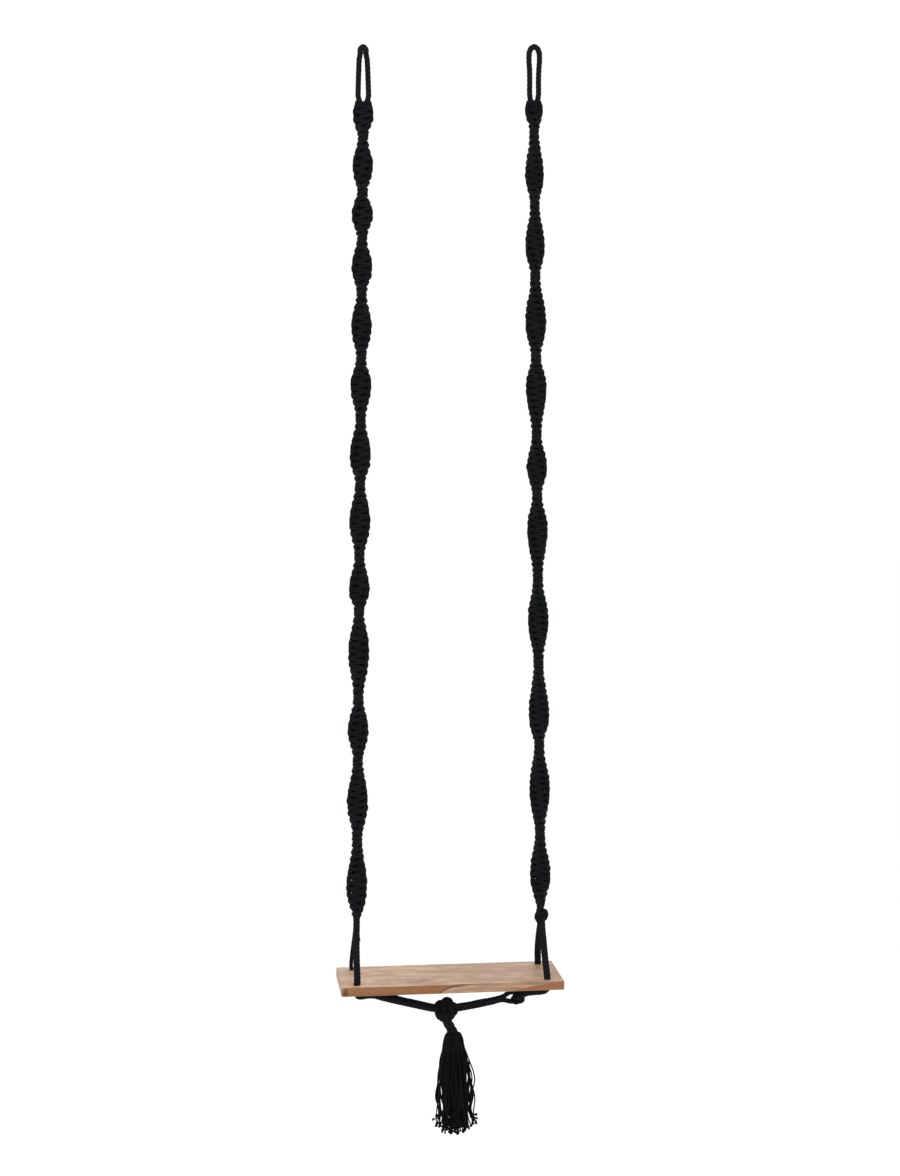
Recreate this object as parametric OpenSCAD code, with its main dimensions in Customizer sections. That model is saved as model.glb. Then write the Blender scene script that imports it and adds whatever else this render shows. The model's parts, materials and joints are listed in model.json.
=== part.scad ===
// Macrame rope swing: a plank seat on two twisted square-knot ropes, with a tassel below.
// Units are millimetres. +Z is up, +X is along the plank, -Y is the front.
// The origin is midway between the two hanging loops, at the height the hooks bear on.

/* [Seat] */
// Length of the plank along X
seat_length = 450; // [350:5:600]
// Depth of the plank along Y
seat_depth = 160; // [130:5:220]
// Thickness of the plank
seat_thickness = 18; // [12:1:30]
// Radius of the plank's upright corners
seat_corner_r = 4; // [1:1:15]
// From the plank's end to the middle of a cord hole
hole_end_inset = 32; // [20:1:60]
// From the plank's long edge to the middle of a cord hole
hole_edge_inset = 20; // [14:1:40]

/* [Ropes] */
// From the hooks down to the top of the plank
rope_drop = 1850; // [1200:10:2200]
// Half the distance between the two hanging loops
top_half_spacing = 169; // [120:1:260]
// Half the distance between the two tie-off knots
tie_half_spacing = 188.5; // [140:0.5:280]
// Width of the knotted band, from bight to bight
band_width = 39; // [32:1:48]
// Thickness of the knotted band
band_thickness = 19.5; // [17:0.5:26]

/* [Cords] */
// Diameter of the cord in the loops and inside the bands
core_cord_d = 10; // [7:0.5:10.5]
// Diameter of the cords through the plank
leg_cord_d = 11.5; // [7:0.5:13]
// Diameter of the thin cord at the left back
thin_leg_cord_d = 6; // [4:0.5:9]
// Diameter of each of the two strands between the small knot and the middle knot
yoke_strand_d = 8; // [6:0.5:9]

/* [Hanging loops] */
// Half the distance between a loop's two strands
loop_half_gap = 8.75; // [7.5:0.25:12]
// From the hooks down to the line the loops bend on
loop_bend_drop = 32; // [24:1:50]
// From the hooks down to the middle of the top knot
top_knot_drop = 112; // [90:1:150]
// Radius of the top knot
top_knot_r = 16; // [12:0.5:20]

/* [Lower knots] */
// Radius of the right tie-off knot above the plank
tie_knot_r = 13; // [10:0.5:18]
// Radius of the left tie-off knot, which is pulled tighter
left_tie_knot_r = 10; // [8:0.5:18]
// Height of the tie-off knots' middles above the plank
tie_knot_height = 124; // [100:1:180]
// Radius of the small knot under the right of the plank
small_knot_r = 12; // [8:0.5:16]
// From the right cord holes to that knot along X
small_knot_inset = 57; // [40:1:90]
// From the plank's underside down to the middle of that knot
small_knot_drop = 32; // [24:1:50]
// Radius of the knot under the middle of the plank
middle_knot_r = 23; // [16:0.5:30]
// Straight length in the middle of that knot
middle_knot_straight = 4; // [1:0.5:12]
// From the top of the plank down to the middle of that knot
middle_knot_drop = 73; // [60:1:100]

/* [Tassel] */
// Radius of the tassel's neck
neck_r = 7; // [5:0.5:7]
// Length of the tassel from its neck ball to its longest cord's end
tassel_length = 212; // [150:5:280]
// How far the tassel's rounded top reaches past its outer cords
crown_lip = 1.2; // [0.5:0.1:4]
// Diameter of each tassel cord
tassel_cord_d = 8; // [6:0.5:10]
// Room from cord to cord under the rounded top, in cord diameters
tassel_cord_pitch = 1.22; // [1.1:0.01:1.5]
// Radius of the outer ring of cords at the bottom
skirt_r = 36; // [30:1:48]
// Cords in the outer ring
outer_cord_count = 12; // [8:1:12]
// Cords in the inner ring
inner_cord_count = 6; // [4:1:6]
// Diameter of the knot at each cord's end
end_knot_d = 12; // [9:0.5:14]

/* [Clearances] */
// Gap between pieces that move on each other
hinge_gap = 0.35; // [0.3:0.05:0.6]
// Gap at the right tie-off knot, where the loop of parts is left open
open_gap = 1.2; // [1:0.1:2]
// Gap between a cord and its hole in the plank
hole_gap = 0.5; // [0.3:0.1:1]

/* [Part] */
// Piece to draw, or all of them

/* [Hidden] */

round_fn = 48;
tube_sides = 10;
tiny = 0.02;
cut_over = 1;
side_l = -1;
side_r = 1;

core_r = core_cord_d / 2;
leg_r = leg_cord_d / 2;
thin_leg_r = thin_leg_cord_d / 2;
yoke_strand_r = yoke_strand_d / 2;
tassel_cord_r = tassel_cord_d / 2;
seat_top_z = -rope_drop;
seat_bottom_z = seat_top_z - seat_thickness;
hole_x = seat_length / 2 - hole_end_inset;
hole_y = seat_depth / 2 - hole_edge_inset;
hole_r = leg_r + hole_gap;
tie_z = seat_top_z + tie_knot_height;

// The tie-off knots are large enough for their two cords to leave them side by side.
splay_half_sin = hole_y / norm([hole_y, tie_knot_height]);
left_tie_r = max(left_tie_knot_r, (leg_r + thin_leg_r + hinge_gap) / (2 * splay_half_sin) - hinge_gap);
right_tie_r = max(tie_knot_r, (leg_cord_d + hinge_gap) / (2 * splay_half_sin) - open_gap);
function tie_r(side) = side < 0 ? left_tie_r : right_tie_r;

// The band: angles are counted in quarter turns. Whole even numbers face the front.
steps_per_quarter = 4;
band_top_z = -top_knot_drop - top_knot_r - hinge_gap;
function band_bottom_z(side) = tie_z + tie_r(side) + hinge_gap;
// Heights where each band has turned by one more quarter, as parts of the band's length.
left_turns = [
  0, 0.028, 0.063, 0.095, 0.12, 0.151, 0.186, 0.218, 0.259, 0.299, 0.332, 0.374, 0.42, 0.455,
  0.503, 0.547, 0.589, 0.616, 0.666, 0.726, 0.767, 0.804, 0.858, 0.906, 0.968, 1
];
right_turns = [
  -0.012, 0.017, 0.074, 0.106, 0.161, 0.195, 0.26, 0.3, 0.337, 0.396, 0.438, 0.473, 0.518,
  0.578, 0.633, 0.69, 0.758, 0.793, 0.85, 0.905, 0.963, 1
];
left_first_step = 0;
right_first_step = 1;
core_pair_r = core_r * sqrt(2);
bore_clearance = 0.9;
bore_r = core_pair_r + bore_clearance;
bore_steps = 7;
split_gap = 0.15;
band_corner = 4;

// Radius of a ring of tassel cords that just have their room
function ring_r(count) = tassel_cord_r * tassel_cord_pitch / sin(180 / count);

// Knots and the tassel
small_knot_y = -14;
small_knot_at = [hole_x - small_knot_inset, small_knot_y, seat_bottom_z - small_knot_drop];
middle_knot_x = -8;
middle_knot_at = [middle_knot_x, 0, seat_top_z - middle_knot_drop];
neck_ball_r = neck_r + 0.5;
neck_top_x = -5;
neck_low_x = 9;
neck_top_drop = 3;
neck_fall = 25;
neck_top_at = [neck_top_x, 0, middle_knot_at[2] - middle_knot_r - neck_top_drop];
neck_low_at = [neck_low_x, 0, neck_top_at[2] - neck_fall];
crown_drop = 36;
crown_rim_angle = 50;
// The crown's outline below its rim: parts of its radius, and how far down
crown_profile = [[0.55, 3], [0.8, 9], [0.95, 18]];
crown_x = neck_low_at[0];
crown_base_z = neck_low_at[2] - crown_drop;
inner_top_r = ring_r(inner_cord_count);
skirt_top_r = max(ring_r(outer_cord_count), inner_top_r + tassel_cord_d * tassel_cord_pitch);
crown_r = skirt_top_r + tassel_cord_r + crown_lip;
inner_low_r = skirt_r / 2;
cord_top_gap = 0.8;
cord_low_gap = 0.4;
outer_ends = [0, 8, 3, 14, 5, 0, 11, 4, 16, 7, 2, 10];
inner_ends = [4, 0, 12, 6, 2, 9];

// How far a cord runs straight above and below its hole, and its two steps along and down under the plank
hole_lead = 3;
hole_tail = 1;
bend_step = [2, 4.5];
away_step = [9, 7];

cord_colour = [0.06, 0.06, 0.07];
knot_colour = [0.05, 0.05, 0.06];
wood_colour = [0.74, 0.58, 0.44];

// Vector helpers
function unit(v) = v / norm(v);
function lean(v, axis) = v - axis * (v * axis);

// One ring of a round tube at a point, square to a direction
function ring_at(p, dir, ref, r, n) =
  let (u = unit(lean(ref, dir)), w = cross(dir, u))
  [for (k = [0 : n - 1]) p + r * (cos(360 * k / n) * u + sin(360 * k / n) * w)];

function route_dir(route, i) =
  i == 0 ? unit(route[1] - route[0]) :
  i == len(route) - 1 ? unit(route[i] - route[i - 1]) :
  unit(unit(route[i] - route[i - 1]) + unit(route[i + 1] - route[i]));

// The faces between rings of n points. The diagonals alternate, so a twisted side stays even.
// Facing sides of two halves use the same diagonals when their parity differs.
function side_faces(rows, n, parity) = [
  for (i = [0 : rows - 2])
    for (k = [0 : n - 1])
      let (a = i * n + k, b = i * n + (k + 1) % n, c = a + n, d = b + n)
      for (f = (k + parity) % 2 == 0 ? [[a, c, d], [a, d, b]] : [[a, c, b], [b, c, d]])
        f
];

// End caps for an outline with no hollow
function plain_caps(rows, n) = [
  [for (k = [0 : n - 1]) k],
  [for (k = [n - 1 : -1 : 0]) (rows - 1) * n + k]
];

// End caps for an outline whose second half runs back inside its first half
function folded_caps(rows, n) = let (low = (rows - 1) * n) [
  for (k = [0 : n / 2 - 2])
    for (f = [
      [k, k + 1, n - 2 - k, n - 1 - k],
      [low + n - 1 - k, low + n - 2 - k, low + k + 1, low + k]
    ])
      f
];

module tube(route, r, ref) {
  rings = [for (i = [0 : len(route) - 1]) ring_at(route[i], route_dir(route, i), ref, r, tube_sides)];
  polyhedron(
    points = [for (ring = rings) for (p = ring) p],
    faces = concat(side_faces(len(route), tube_sides, 0), plain_caps(len(route), tube_sides))
  );
}

// A straight round bar from one point to another
module bar(a, b, r) {
  d = b - a;
  translate(a)
    rotate([0, acos(d[2] / norm(d)), atan2(d[1], d[0])])
      cylinder(r = r, h = norm(d), $fn = round_fn);
}

// Where the middle of a band is at a height
function band_x(side, z) =
  side * (top_half_spacing + (tie_half_spacing - top_half_spacing)
    * (-top_knot_drop - z) / (-top_knot_drop - tie_z));

function turn_z(side, turns, step) =
  let (share = lookup(step / steps_per_quarter, [for (k = [0 : len(turns) - 1]) [k, turns[k]]]))
  band_top_z + (band_bottom_z(side) - band_top_z) * share;

// A flat outline swept down a band while it turns
module band_sweep(side, turns, first, outline, parity) {
  n = len(outline);
  last = (len(turns) - 1) * steps_per_quarter;
  rows = last - first + 1;
  pts = [for (s = [first : last])
    let (z = s == first ? band_top_z : turn_z(side, turns, s), a = side * 90 * s / steps_per_quarter)
    for (p = outline)
      [band_x(side, z) + p[0] * cos(a) - p[1] * sin(a), p[0] * sin(a) + p[1] * cos(a), z]];
  polyhedron(points = pts, faces = concat(side_faces(rows, n, parity), folded_caps(rows, n)));
}

// Half of the knotted band round the core, on the front or the back
function wrap_outline(s) = let (w = band_width / 2, t = band_thickness / 2, c = band_corner) concat(
  [
    [-w, -s * split_gap],
    [-w, -s * (t - c)],
    [-w + c, -s * t],
    [-w / 3, -s * t],
    [w / 3, -s * t],
    [w - c, -s * t],
    [w, -s * (t - c)],
    [w, -s * split_gap],
    [bore_r, -s * split_gap]
  ],
  [for (k = [1 : bore_steps - 1]) let (a = 180 * k / bore_steps) [bore_r * cos(a), -s * bore_r * sin(a)]],
  [[-bore_r, -s * split_gap]]
);

function flipped(list) = [for (i = [len(list) - 1 : -1 : 0]) list[i]];

// The doubled core cord inside a band, as one round bar of the two strands' area
module core_cord(side) {
  low_z = band_bottom_z(side);
  color(cord_colour)
    bar([band_x(side, band_top_z), 0, band_top_z], [band_x(side, low_z), 0, low_z], core_pair_r);
}

module wrap_half(side, turns, first, s) {
  color(knot_colour)
    band_sweep(side, turns, first, s > 0 ? flipped(wrap_outline(s)) : wrap_outline(s), s > 0 ? 1 : 0);
}

// The upper bend of a hanging loop, down to the line the loop bends on
module eye(side) {
  bend_z = core_r - loop_half_gap;
  color(cord_colour)
    translate([side * top_half_spacing, 0, 0]) {
      translate([0, 0, bend_z])
        rotate([90, 0, 0])
          rotate_extrude(angle = 180, $fn = round_fn)
            translate([loop_half_gap, 0])
              circle(r = core_r, $fn = round_fn);
      for (s = [side_l, side_r]) {
        translate([s * loop_half_gap, 0, -loop_bend_drop])
          cylinder(r = core_r, h = loop_bend_drop + bend_z, $fn = round_fn);
        translate([s * loop_half_gap, 0, -loop_bend_drop])
          sphere(r = core_r, $fn = round_fn);
      }
    }
}

module loop_strands(side) {
  top_z = -loop_bend_drop - core_r - hinge_gap;
  low_z = -top_knot_drop + top_knot_r + hinge_gap;
  color(cord_colour)
    for (s = [side_l, side_r])
      translate([side * top_half_spacing + s * loop_half_gap, 0, low_z])
        cylinder(r = core_r, h = top_z - low_z, $fn = round_fn);
}

module top_knot(side) {
  collar_h = top_knot_r - tiny;
  chamfer = 2;
  color(knot_colour)
    translate([side * top_half_spacing, 0, -top_knot_drop]) {
      sphere(r = top_knot_r, $fn = round_fn);
      cylinder(r = top_knot_r, h = collar_h - chamfer, $fn = round_fn);
      translate([0, 0, collar_h - chamfer])
        cylinder(r1 = top_knot_r, r2 = top_knot_r - chamfer, h = chamfer, $fn = round_fn);
    }
}

module tie_knot(side) {
  color(knot_colour)
    translate([side * tie_half_spacing, 0, tie_z])
      sphere(r = tie_r(side), $fn = round_fn);
}

module seat_plank() {
  cx = seat_length / 2 - seat_corner_r;
  cy = seat_depth / 2 - seat_corner_r;
  color(wood_colour)
    difference() {
      union() {
        translate([-seat_length / 2, -cy, seat_bottom_z])
          cube([seat_length, 2 * cy, seat_thickness]);
        translate([-cx, -seat_depth / 2, seat_bottom_z])
          cube([2 * cx, seat_depth, seat_thickness]);
        for (sx = [side_l, side_r])
          for (sy = [side_l, side_r])
            translate([sx * cx, sy * cy, seat_bottom_z])
              cylinder(r = seat_corner_r, h = seat_thickness, $fn = round_fn);
      }
      for (sx = [side_l, side_r])
        for (sy = [side_l, side_r])
          translate([sx * hole_x, sy * hole_y, seat_bottom_z - cut_over])
            cylinder(r = hole_r, h = seat_thickness + 2 * cut_over, $fn = round_fn);
    }
}

// A cord from its tie-off knot, down through its hole, and under the plank to a knot
module leg_cord(side, front, r, gap, goal, goal_r) {
  top = [side * tie_half_spacing, 0, tie_z];
  hole = [side * hole_x, front * hole_y, seat_top_z + hole_lead];
  under = [side * hole_x, front * hole_y, seat_bottom_z - hole_tail];
  way = unit([goal[0] - under[0], goal[1] - under[1], 0]);
  bend = under + bend_step[0] * way - [0, 0, bend_step[1]];
  away = under + away_step[0] * way - [0, 0, away_step[1]];
  route = [
    top + (tie_r(side) + gap) * unit(hole - top),
    hole,
    under,
    bend,
    away,
    goal + (goal_r + hinge_gap) * unit(away - goal)
  ];
  color(cord_colour)
    tube(route, r, cross(hole - top, goal - away));
}

module small_knot() {
  color(knot_colour)
    translate(small_knot_at)
      sphere(r = small_knot_r, $fn = round_fn);
}

module right_yoke_strands() {
  d = unit(middle_knot_at - small_knot_at);
  out = unit(cross(d, [0, 0, 1]));
  color(cord_colour)
    for (s = [side_l, side_r]) {
      offset = s * (yoke_strand_r + split_gap) * out;
      bar(
        small_knot_at + offset + (small_knot_r + hinge_gap) * d,
        middle_knot_at + offset + [middle_knot_straight / 2, 0, 0] - (middle_knot_r + hinge_gap) * d,
        yoke_strand_r
      );
    }
}

module middle_knot() {
  color(knot_colour) {
    translate(middle_knot_at) {
      for (s = [side_l, side_r])
        translate([s * middle_knot_straight / 2, 0, 0])
          sphere(r = middle_knot_r, $fn = round_fn);
      translate([-middle_knot_straight / 2, 0, 0])
        rotate([0, 90, 0])
          cylinder(r = middle_knot_r, h = middle_knot_straight, $fn = round_fn);
    }
    translate(neck_top_at)
      sphere(r = neck_ball_r, $fn = round_fn);
  }
}

module tassel_neck() {
  d = unit(neck_low_at - neck_top_at);
  color(cord_colour) {
    bar(neck_top_at + (neck_ball_r + hinge_gap) * d, neck_low_at, neck_r);
    translate(neck_low_at)
      sphere(r = neck_ball_r, $fn = round_fn);
  }
}

module tassel_crown() {
  dish_r = neck_ball_r + hinge_gap;
  rim_r = dish_r * sin(crown_rim_angle);
  rim_z = -dish_r * cos(crown_rim_angle);
  color(knot_colour)
    translate(neck_low_at)
      difference() {
        rotate_extrude($fn = round_fn)
          polygon([
            [0, rim_z],
            [rim_r, rim_z],
            for (p = crown_profile) [crown_r * p[0], rim_z - p[1]],
            [crown_r, -crown_drop],
            [0, -crown_drop]
          ]);
        sphere(r = dish_r, $fn = round_fn);
      }
}

function cord_end_z(short) = neck_low_at[2] - tassel_length + end_knot_d / 2 + short;

// One tassel cord, from under the crown to its end
module tassel_cord(angle, top_r, low_r, short) {
  a = [crown_x + top_r * cos(angle), top_r * sin(angle), crown_base_z - cord_top_gap];
  b = [crown_x + low_r * cos(angle), low_r * sin(angle), cord_end_z(short) + end_knot_d / 2 + cord_low_gap];
  bar(a, b, tassel_cord_r);
}

module tassel_inner_cords() {
  color(cord_colour) {
    tassel_cord(0, 0, 0, 0);
    for (k = [0 : inner_cord_count - 1])
      tassel_cord(360 * k / inner_cord_count, inner_top_r, inner_low_r, inner_ends[k]);
  }
}

module tassel_outer_cords() {
  color(cord_colour)
    for (k = [0 : outer_cord_count - 1])
      tassel_cord(360 * (k + 0.5) / outer_cord_count, skirt_top_r, skirt_r, outer_ends[k]);
}

module end_knot(angle, low_r, short) {
  translate([crown_x + low_r * cos(angle), low_r * sin(angle), cord_end_z(short)])
    sphere(d = end_knot_d, $fn = round_fn);
}

module tassel_end_knots() {
  color(knot_colour) {
    end_knot(0, 0, 0);
    for (k = [0 : inner_cord_count - 1])
      end_knot(360 * k / inner_cord_count, inner_low_r, inner_ends[k]);
    for (k = [0 : outer_cord_count - 1])
      end_knot(360 * (k + 0.5) / outer_cord_count, skirt_r, outer_ends[k]);
  }
}

left_goal = middle_knot_at - [middle_knot_straight / 2, 0, 0];

eye(side_l);  // left_eye
eye(side_r);  // right_eye
loop_strands(side_l);  // left_loop
top_knot(side_l);  // left_top_knot
loop_strands(side_r);  // right_loop
top_knot(side_r);  // right_top_knot
core_cord(side_l);  // left_core_cord
wrap_half(side_l, left_turns, left_first_step, 1);  // left_knotting_cord_a
wrap_half(side_l, left_turns, left_first_step, -1);  // left_knotting_cord_b
core_cord(side_r);  // right_core_cord
wrap_half(side_r, right_turns, right_first_step, 1);  // right_knotting_cord_a
wrap_half(side_r, right_turns, right_first_step, -1);  // right_knotting_cord_b
tie_knot(side_l);  // left_tie_knot
tie_knot(side_r);  // right_tie_knot
seat_plank();
leg_cord(side_l, side_l, leg_r, hinge_gap, left_goal, middle_knot_r);  // left_front_cord
leg_cord(side_l, side_r, thin_leg_r, hinge_gap, left_goal, middle_knot_r);  // left_back_cord
leg_cord(side_r, side_l, leg_r, open_gap, small_knot_at, small_knot_r);  // right_front_cord
leg_cord(side_r, side_r, leg_r, open_gap, small_knot_at, small_knot_r);  // right_back_cord
small_knot();  // right_small_knot
right_yoke_strands();  // right_yoke
middle_knot();
tassel_neck();
tassel_crown();
tassel_inner_cords();
tassel_outer_cords();
tassel_end_knots();
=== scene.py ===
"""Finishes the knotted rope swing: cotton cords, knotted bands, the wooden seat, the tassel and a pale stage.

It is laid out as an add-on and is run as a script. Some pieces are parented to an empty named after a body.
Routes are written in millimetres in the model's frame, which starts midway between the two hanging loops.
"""

import json
import math

import bmesh
import bpy
import numpy as np
from bpy.props import FloatProperty, FloatVectorProperty, IntProperty, PointerProperty
from mathutils import Matrix, Vector


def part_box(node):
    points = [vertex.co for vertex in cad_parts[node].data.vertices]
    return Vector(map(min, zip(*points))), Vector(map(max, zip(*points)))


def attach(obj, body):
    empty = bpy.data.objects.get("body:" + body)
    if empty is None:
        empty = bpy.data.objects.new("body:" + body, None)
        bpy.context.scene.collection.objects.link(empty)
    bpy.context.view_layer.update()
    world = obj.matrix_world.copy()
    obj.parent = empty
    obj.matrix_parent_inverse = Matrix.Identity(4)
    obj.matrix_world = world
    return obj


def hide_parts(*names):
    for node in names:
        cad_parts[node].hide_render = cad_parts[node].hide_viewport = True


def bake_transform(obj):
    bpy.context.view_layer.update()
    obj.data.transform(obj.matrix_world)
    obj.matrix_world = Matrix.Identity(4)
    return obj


bl_info = {
    "name": "Knotted Rope Swing",
    "version": (1, 0, 0),
    "blender": (4, 5, 0),
    "location": "View3D > Sidebar > Swing",
    "description": "Makes the cords, knotted bands, seat and tassel of a rope swing",
    "category": "Add Mesh",
}

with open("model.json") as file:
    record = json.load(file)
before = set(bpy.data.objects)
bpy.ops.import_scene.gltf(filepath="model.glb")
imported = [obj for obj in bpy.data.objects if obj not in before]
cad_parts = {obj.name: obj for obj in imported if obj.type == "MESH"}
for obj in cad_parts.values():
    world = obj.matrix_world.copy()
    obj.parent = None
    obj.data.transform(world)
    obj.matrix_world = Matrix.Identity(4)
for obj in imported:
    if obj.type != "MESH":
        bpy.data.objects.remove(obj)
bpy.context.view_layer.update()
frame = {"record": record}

SIDES = {"left": -1, "right": 1}

# Where the hinges are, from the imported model.
HINGE_AT = {joint["name"]: np.array(joint["pos_m"]) for joint in frame["record"]["behaviour"]["joints"]}
COLLAR_HINGE_Z = HINGE_AT["side_sway"][2]
NECK_TOP_AT = HINGE_AT["neck_swing"]
NECK_LOW_AT = HINGE_AT["tassel_sway"]

# How far each band has turned: the height in millimetres where every quarter turn is reached, from the first.
TURN_HEIGHTS = {
    "left": [
        -126, -172, -229, -279, -319, -368, -424, -474, -540, -603, -655, -722, -795, -851, -926,
        -996, -1063, -1102, -1185, -1281, -1345, -1404, -1490, -1566, -1664, -1736,
    ],
    "right": [
        -110, -155, -243, -297, -382, -438, -533, -599, -658, -755, -821, -872, -944, -1040, -1128,
        -1212, -1326, -1378, -1475, -1562, -1652, -1712.65,
    ],
}

# How far each band runs on past its first and last quarter turns, and the turn it has there, in quarters.
TURN_RUN_ON = 0.06
TURN_BEFORE = {"left": -0.3, "right": -0.6}
TURN_AFTER = 0.4

# How far each band's first face is turned from the front, in degrees.
FACE_TURNS = {"left": 4.4, "right": 9.2}

# How much faster a band turns while it is wide than while it is narrow.
TURN_HASTE = 0.04

# The top and the bottom of each band.
BAND_ENDS = {"left": (-0.1025, -1.7285), "right": (-0.096, -1.7165)}

# How full a band is in its first and last knots: knots from that end, and share of the full width.
FULLNESS_AT_TOP = ([0, 1.4, 3.5], [0.6, 0.86, 1])
FULLNESS_AT_BOTTOM = ([3.4, 1.4, 0], [1, 0.7, 0.32])

# The two core strands in a band: from the band's middle to a strand's, and a strand's thickness.
CORE_OFFSET = 0.0041
CORE_DIAMETER = 0.0078

# How full each band is, by the share of its length.
BAND_FULLNESS = {
    "left": ([0, 0.09, 0.12, 0.27, 0.36, 1], [1, 0.95, 1, 0.96, 1, 1]),
    "right": ([0, 0.06, 0.16, 0.26, 0.4, 1], [0.88, 0.84, 0.9, 1, 0.97, 1]),
}

# Each hanging loop, as steps across from its own middle and heights, in millimetres.
LOOP_ROUTES = {
    "left": [
        (-4.2, -122), (-5.2, -112), (-6.8, -104), (-9.9, -93), (-9.8, -80), (-9.3, -62), (-8.4, -38), (-7.5, -21),
        (-5.7, -11), (-5.3, -4), (-3.4, 0.6), (0, 2.0), (3.4, 0.6), (5.5, -4), (5.8, -11), (7.7, -21), (8.8, -38),
        (9.7, -62), (10.2, -80), (10.3, -93), (7.0, -104), (5.4, -112), (4.4, -122),
    ],
    "right": [
        (-4.8, -114), (-6.2, -99), (-8.3, -87), (-8.6, -60), (-9.0, -36), (-10.3, -14), (-9.2, -1), (-5.4, 6.2),
        (0, 8.9), (5.6, 6.2), (9.6, -1), (10.7, -14), (9.5, -36), (8.8, -60), (8.6, -87), (6.2, -99), (4.8, -114),
    ],
}

# How much thicker each loop's cord is over its top, the height where it starts to swell, and how soon it is full.
LOOP_TOP_SWELL = {"left": 0.06, "right": 0.04}
LOOP_SWELL_FROM = -0.016
LOOP_SWELL_WITHIN = 0.012

# The small lump on the left front cord: its height, its reach up and down, and how far it swells.
LUMP_Z = -1.767
LUMP_REACH = 0.0035
LUMP_SWELL = 0.22

# The four cords through the seat, in millimetres.
LEG_ROUTES = {
    "left_front_cord": [
        (-188.4, -1, -1706), (-188.6, -4, -1732), (-190.4, -19, -1766), (-191.6, -40, -1808),
        (-191.8, -57, -1842), (-192.6, -60, -1855), (-192.6, -60, -1866), (-190, -59, -1872.5),
        (-184, -55, -1874.4), (-170, -47, -1875.2), (-157, -37, -1878.4), (-140, -27, -1886),
        (-106, -17, -1898.0), (-70, -10, -1909.0), (-31, -4, -1920), (-16, -1, -1923),
    ],
    "left_back_cord": [
        (-188.4, 2, -1710), (-189.2, 5, -1735), (-192.4, 20, -1775), (-195.4, 42, -1818),
        (-195.4, 57, -1845), (-193.6, 60, -1856), (-192.6, 60, -1866), (-189, 58, -1871.6),
        (-180, 50, -1872.6), (-164, 24, -1873.8), (-152, 2, -1875.4), (-136, -12, -1880),
        (-106, -13, -1891.6), (-70, -8, -1902.6), (-31, -2, -1914.2), (-16, 0, -1918),
    ],
    "right_front_cord": [
        (190, -4, -1738), (190.4, -9, -1758), (191, -22, -1782), (191.6, -43, -1818),
        (192.8, -58, -1846), (193, -60, -1858), (192.6, -60, -1866), (190, -58.5, -1872.8),
        (184, -54, -1876.4), (168, -43, -1880.6), (153, -30, -1886.6), (144, -21, -1894.6), (137, -15, -1901),
    ],
    "right_back_cord": [
        (189.8, 4, -1738), (189.4, 9, -1754), (188.8, 24, -1782), (189.8, 44, -1818),
        (192.6, 59, -1846), (193, 60, -1858), (192.6, 60, -1866), (190, 58, -1872.8),
        (183, 51, -1876), (162, 24, -1881), (149, 4, -1890), (142, -7, -1898), (137, -13, -1903),
    ],
}

# How unevenly the plank's edges are worn, how far they are drawn in, and the sides of a cord hole.
EDGE_WEAR = 0.00022
EDGE_DRAW_IN = 0.0002
HOLE_SIDES = 24

# The two strands under the seat, from the small knot to the middle knot, in millimetres.
YOKE_ROUTES = {
    "upper_yoke_strand": [
        (139, -14, -1896), (131, -15, -1887.4), (122, -15, -1888.4), (111, -14, -1895.4), (86, -12, -1902.6),
        (63, -8, -1907), (40, -4, -1912.6), (18, 0, -1916.4), (2, 1, -1920),
    ],
    "lower_yoke_strand": [
        (139, -13, -1903), (130, -13, -1907.4), (120, -13, -1906), (111, -13, -1903.8), (86, -9, -1909.4),
        (63, -7, -1914.4), (40, -3, -1919.4), (18, -1, -1923.4), (2, -1, -1926),
    ],
}

# Three turns of cord that come out over the middle knot's face, and their thickness in metres.
TAIL_ROUTES = [
    [(-20, -3, -1914), (-17, -8, -1926), (-10, -8, -1937), (-5, -3, -1948)],
    [(8, 4, -1912), (8, 8, -1926), (0, 7, -1938), (-4, 3, -1948)],
    [(-14, 3, -1906), (-2, -9, -1911), (4, -11, -1925), (-2, -6, -1944)],
]
TAIL_DIAMETER = 0.0095

# The tassel's neck in millimetres, the height where it is cut in two, and the length of its twist.
NECK_ROUTE = [(-5, 0, -1934), (-4.4, 0, -1946), (-1, 0, -1954), (5, 0, -1965), (9.4, 0, -1974), (10.4, 0, -1984)]
NECK_CUT_Z = -1.9605
NECK_TWIST_LENGTH = 0.045

# The tassel's outer, inner and middle cords: how many there are, and 1 for outermost down to 0 for the middle.
TASSEL_LAYERS = [(12, 1.0), (6, 0.5), (1, 0.0)]
STRAND_SEED = 8

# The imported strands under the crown: the distance from the middle and the height, in millimetres.
CROWN_PROFILE = [
    (1.2, -1975.4), (6, -1975.2), (11, -1980), (15.4, -1988), (18.8, -1998), (20.6, -2012), (20, -2040),
    (17, -2070), (8, -2090), (0.6, -2094),
]
CROWN_RIBS = 24
CROWN_RIB_DEPTH = 0.0007

# Each light: where it stands, how wide it is, and its power. All of them look at one point.
LIGHTS = [
    ("key_light", (-2.6, -3.4, 1.2), 2.4, 60),
    ("fill_light", (3.2, -2.6, -0.4), 2.8, 22),
    ("back_light", (0.8, 3.4, 0.8), 2.4, 24),
]
LIGHTS_AIM = (0, 0, -1.1)

# Each finish of cord: lay length, plies, height of the relief, and how much lighter than the plain cotton.
CORD_FINISHES = {
    "laid_cotton_cord": (0.026, 3.0, 0.0006, 1.25),
    "knotted_cotton_cord": (0.017, 3.0, 0.0007, 1.0),
    "tassel_cotton_yarn": (0.006, 2.0, 0.0003, 0.7),
}


# ---------------------------------------------------------------- settings


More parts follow.
